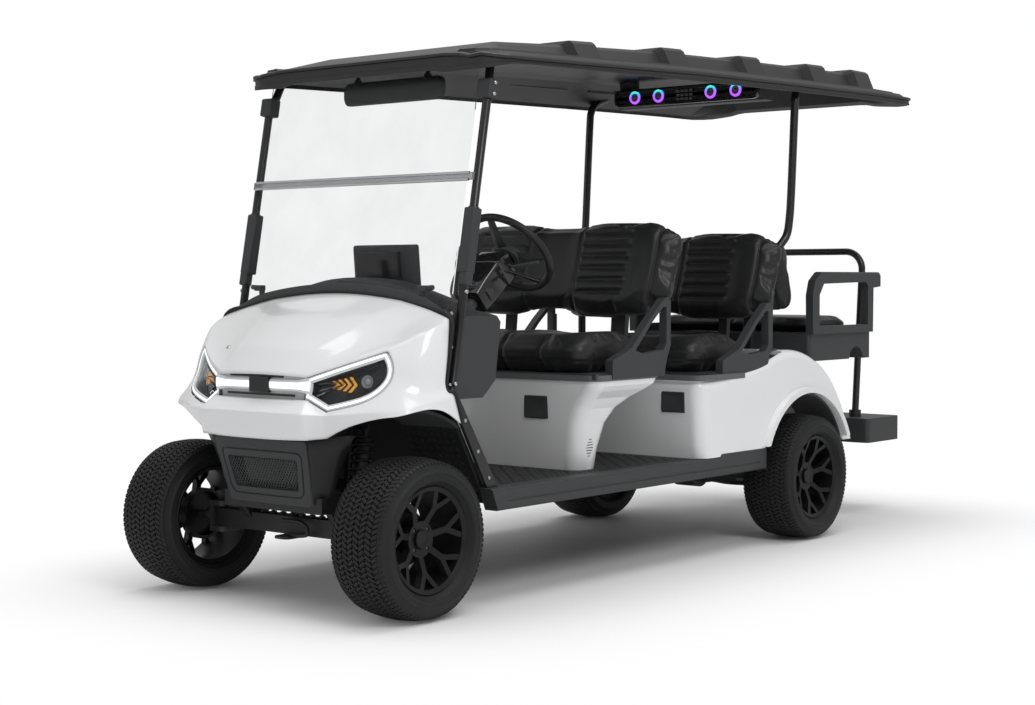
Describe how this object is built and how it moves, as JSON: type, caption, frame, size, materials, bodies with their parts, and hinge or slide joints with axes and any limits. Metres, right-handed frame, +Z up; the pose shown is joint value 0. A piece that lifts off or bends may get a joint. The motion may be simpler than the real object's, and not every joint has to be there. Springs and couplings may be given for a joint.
{
  "type": "golf cart",
  "caption": "Open passenger golf cart with forward benches, a rear-facing bench over a foot step, and a ribbed roof on posts.",
  "frame": {"origin": "on the ground under the middle of the cart's length and width", "axes": "+X forward, +Y to the cart's left, +Z up"},
  "size_m": [4.0899, 1.3902, 2.1718],
  "materials": {
    "body_white": "gloss white moulded body panels",
    "frame_black": "satin black powder coat on steel",
    "post_black": "semi-gloss black powder coat",
    "trim_charcoal": "fine-grained charcoal moulded plastic",
    "floor_mat": "ribbed black floor mat",
    "roof_black": "satin black moulded canopy",
    "seat_black": "black grained vinyl",
    "windshield_clear": "clear acrylic sheet",
    "tyre": "black tread rubber",
    "rim_black": "matte black cast alloy wheel",
    "lamp_lens": "smoked lamp lens",
    "light_bar_black": "gloss black bar",
    "wheel_grip": "soft black grip",
    "mirror_glass": "mirror with black back",
    "bare_steel": "zinc-plated steel",
    "cast_grey": "painted cast housing"
  },
  "bodies": {
    "chassis": {"frame": "frame_black", "front_axle": "frame_black", "front_suspension": "frame_black", "rear_axle": "cast_grey", "rear_suspension": "frame_black", "steering_gear": "cast_grey", "battery_pack": "trim_charcoal", "floor": "floor_mat", "sills": "trim_charcoal", "front_cowl": "body_white", "headlamps": "lamp_lens", "light_bar": "light_bar_black", "lower_grille": "trim_charcoal", "dashboard": "trim_charcoal", "display": "light_bar_black", "steering_column": "trim_charcoal", "pedals": "frame_black", "windshield": "windshield_clear", "windshield_hinge": "post_black", "front_posts": "post_black", "rear_posts": "post_black", "roof": "roof_black", "speaker_console": "trim_charcoal", "mirror": "mirror_glass", "front_pod": "body_white", "rear_body": "body_white", "hatches": "trim_charcoal", "wheel_wells": "trim_charcoal", "front_backrest": "seat_black", "front_seat_frame": "trim_charcoal", "middle_backrest": "seat_black", "middle_seat_frame": "trim_charcoal", "rear_backrest": "seat_black", "rear_back_frame": "post_black", "rear_seat_tray": "trim_charcoal", "rear_armrests": "trim_charcoal", "rear_step": "trim_charcoal", "grab_hoop": "post_black"},
    "steering": {"steering_wheel": "wheel_grip"},
    "knuckle_left": {"knuckle_left": "cast_grey"},
    "knuckle_right": {"knuckle_right": "cast_grey"},
    "steering_rack": {"tie_rod": "bare_steel"},
    "front_seat_lid": {"front_cushion": "seat_black"},
    "middle_seat_lid": {"middle_cushion": "seat_black"},
    "rear_seat_lid": {"rear_cushion": "seat_black"},
    "front_wheel_left": {"front_tyre_left": "tyre", "front_rim_left": "rim_black"},
    "front_wheel_right": {"front_tyre_right": "tyre", "front_rim_right": "rim_black"},
    "rear_wheel_left": {"rear_tyre_left": "tyre", "rear_rim_left": "rim_black"},
    "rear_wheel_right": {"rear_tyre_right": "tyre", "rear_rim_right": "rim_black"}
  },
  "joints": [
    {"name": "steering_turn", "type": "hinge", "parent": "chassis", "child": "steering", "pos_m": [0.9156, 0.29, 1.265], "axis": [-0.7547, 0, 0.6561], "range_deg": [-448, 448]},
    {"name": "knuckle_left_steer", "type": "hinge", "parent": "chassis", "child": "knuckle_left", "pos_m": [1.7656, 0.4, 0.2794], "axis": [0, 0, 1], "range_deg": [-28.5, 28.5]},
    {"name": "knuckle_right_steer", "type": "hinge", "parent": "chassis", "child": "knuckle_right", "pos_m": [1.7656, -0.4, 0.2794], "axis": [0, 0, 1], "range_deg": [-28.5, 28.5]},
    {"name": "rack_slide", "type": "slide", "parent": "chassis", "child": "steering_rack", "axis": [0, -1, 0], "range_m": [-0.0545, 0.0545]},
    {"name": "front_seat_lift", "type": "hinge", "parent": "chassis", "child": "front_seat_lid", "pos_m": [0.3256, 0, 0.8], "axis": [0, -1, 0], "range_deg": [0, 50]},
    {"name": "middle_seat_lift", "type": "hinge", "parent": "chassis", "child": "middle_seat_lid", "pos_m": [-0.4594, 0, 0.772], "axis": [0, -1, 0], "range_deg": [0, 50]},
    {"name": "rear_seat_lift", "type": "hinge", "parent": "chassis", "child": "rear_seat_lid", "pos_m": [-1.0964, 0, 0.9083], "axis": [0, 1, 0], "range_deg": [0, 45]},
    {"name": "front_wheel_left_spin", "type": "hinge", "parent": "knuckle_left", "child": "front_wheel_left", "pos_m": [1.7656, 0.544, 0.2794], "axis": [0, 1, 0], "continuous": true},
    {"name": "front_wheel_right_spin", "type": "hinge", "parent": "knuckle_right", "child": "front_wheel_right", "pos_m": [1.7656, -0.544, 0.2794], "axis": [0, 1, 0], "continuous": true},
    {"name": "rear_wheel_left_spin", "type": "hinge", "parent": "chassis", "child": "rear_wheel_left", "pos_m": [-0.7854, 0.57, 0.2794], "axis": [0, 1, 0], "continuous": true},
    {"name": "rear_wheel_right_spin", "type": "hinge", "parent": "chassis", "child": "rear_wheel_right", "pos_m": [-0.7854, -0.57, 0.2794], "axis": [0, 1, 0], "continuous": true}
  ],
  "couplings": [
    {"joint": "knuckle_left_steer", "follows": "steering_turn", "ratio": 0.0625},
    {"joint": "knuckle_right_steer", "follows": "steering_turn", "ratio": 0.0625},
    {"joint": "rack_slide", "follows": "steering_turn", "m_per_rad": 0.006875}
  ]
}
